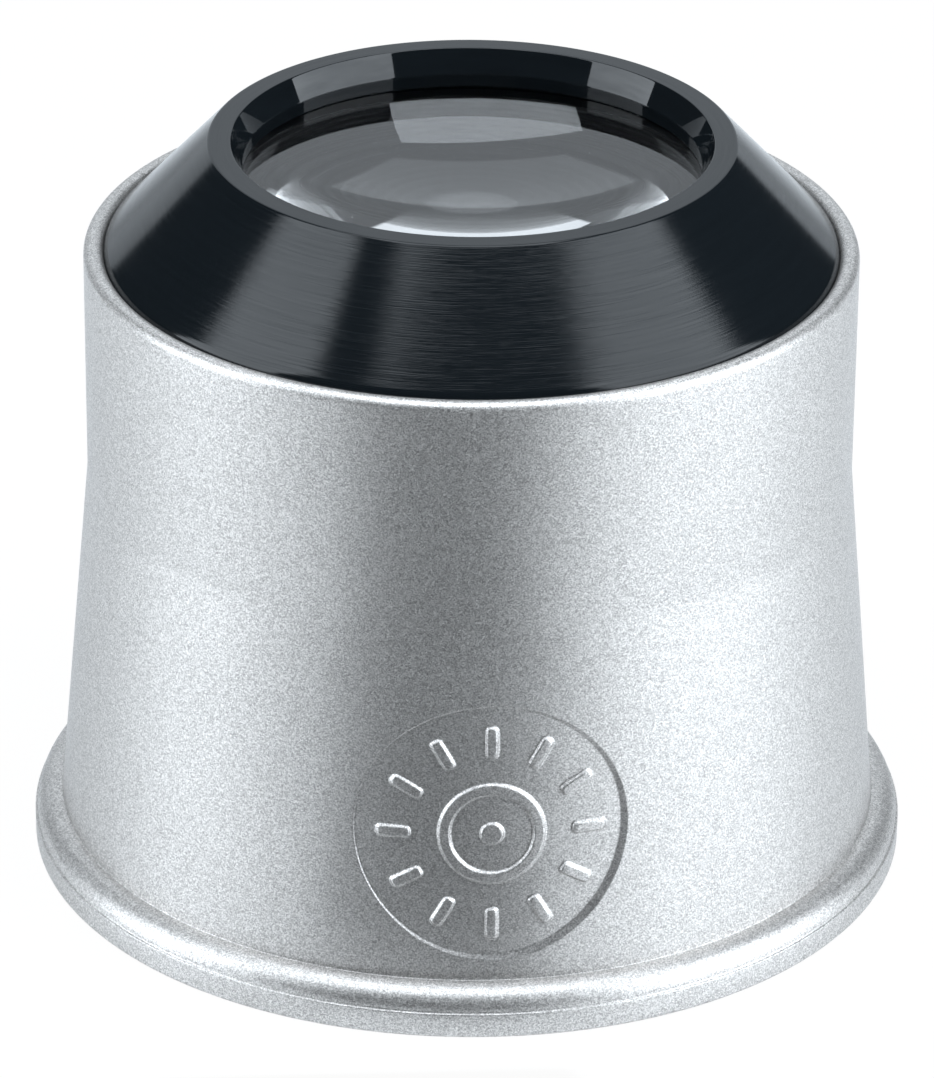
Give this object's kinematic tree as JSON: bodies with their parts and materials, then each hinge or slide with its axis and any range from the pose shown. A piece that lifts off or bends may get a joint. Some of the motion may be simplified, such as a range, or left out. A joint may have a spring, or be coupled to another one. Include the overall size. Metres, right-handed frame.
{
  "type": "watchmaker loupe",
  "caption": "Eye-held loupe: a silver eyecup with a rolled eye rim and a black conical lens cell that screws into its top and holds a pair of lenses.",
  "frame": {"origin": "centre of the eye rim's flat face, on the optical axis, with the loupe standing on that rim", "axes": "+Z is the optical axis, from the eye rim towards the front lens; -Y points out through the middle of the dial badge; +X completes a right-handed frame"},
  "size_m": [0.036, 0.036, 0.0308],
  "materials": {
    "silver_lacquer": "metallic silver lacquer, satin, on moulded ABS",
    "black_anodised": "turned and black anodised, half gloss",
    "black_blasted": "black anodised, matt",
    "optical_glass": "polished, clear"
  },
  "bodies": {
    "eyecup": {"eyecup": "silver_lacquer"},
    "optics": {"front_lens": "optical_glass", "spacer_ring": "black_blasted", "rear_lens": "optical_glass"},
    "cell": {"lens_cell": "black_anodised", "retaining_ring": "black_blasted"}
  },
  "joints": [
    {"name": "cell_rise", "type": "slide", "parent": "eyecup", "child": "optics", "axis": [0, 0, 1], "range_m": [0, 0.003]},
    {"name": "cell_unscrew", "type": "hinge", "parent": "optics", "child": "cell", "pos_m": [0, 0, 0.0249], "axis": [0, 0, 1], "range_deg": [0, 1080]}
  ],
  "couplings": [
    {"joint": "cell_unscrew", "follows": "cell_rise", "rad_per_m": 6283.2}
  ]
}
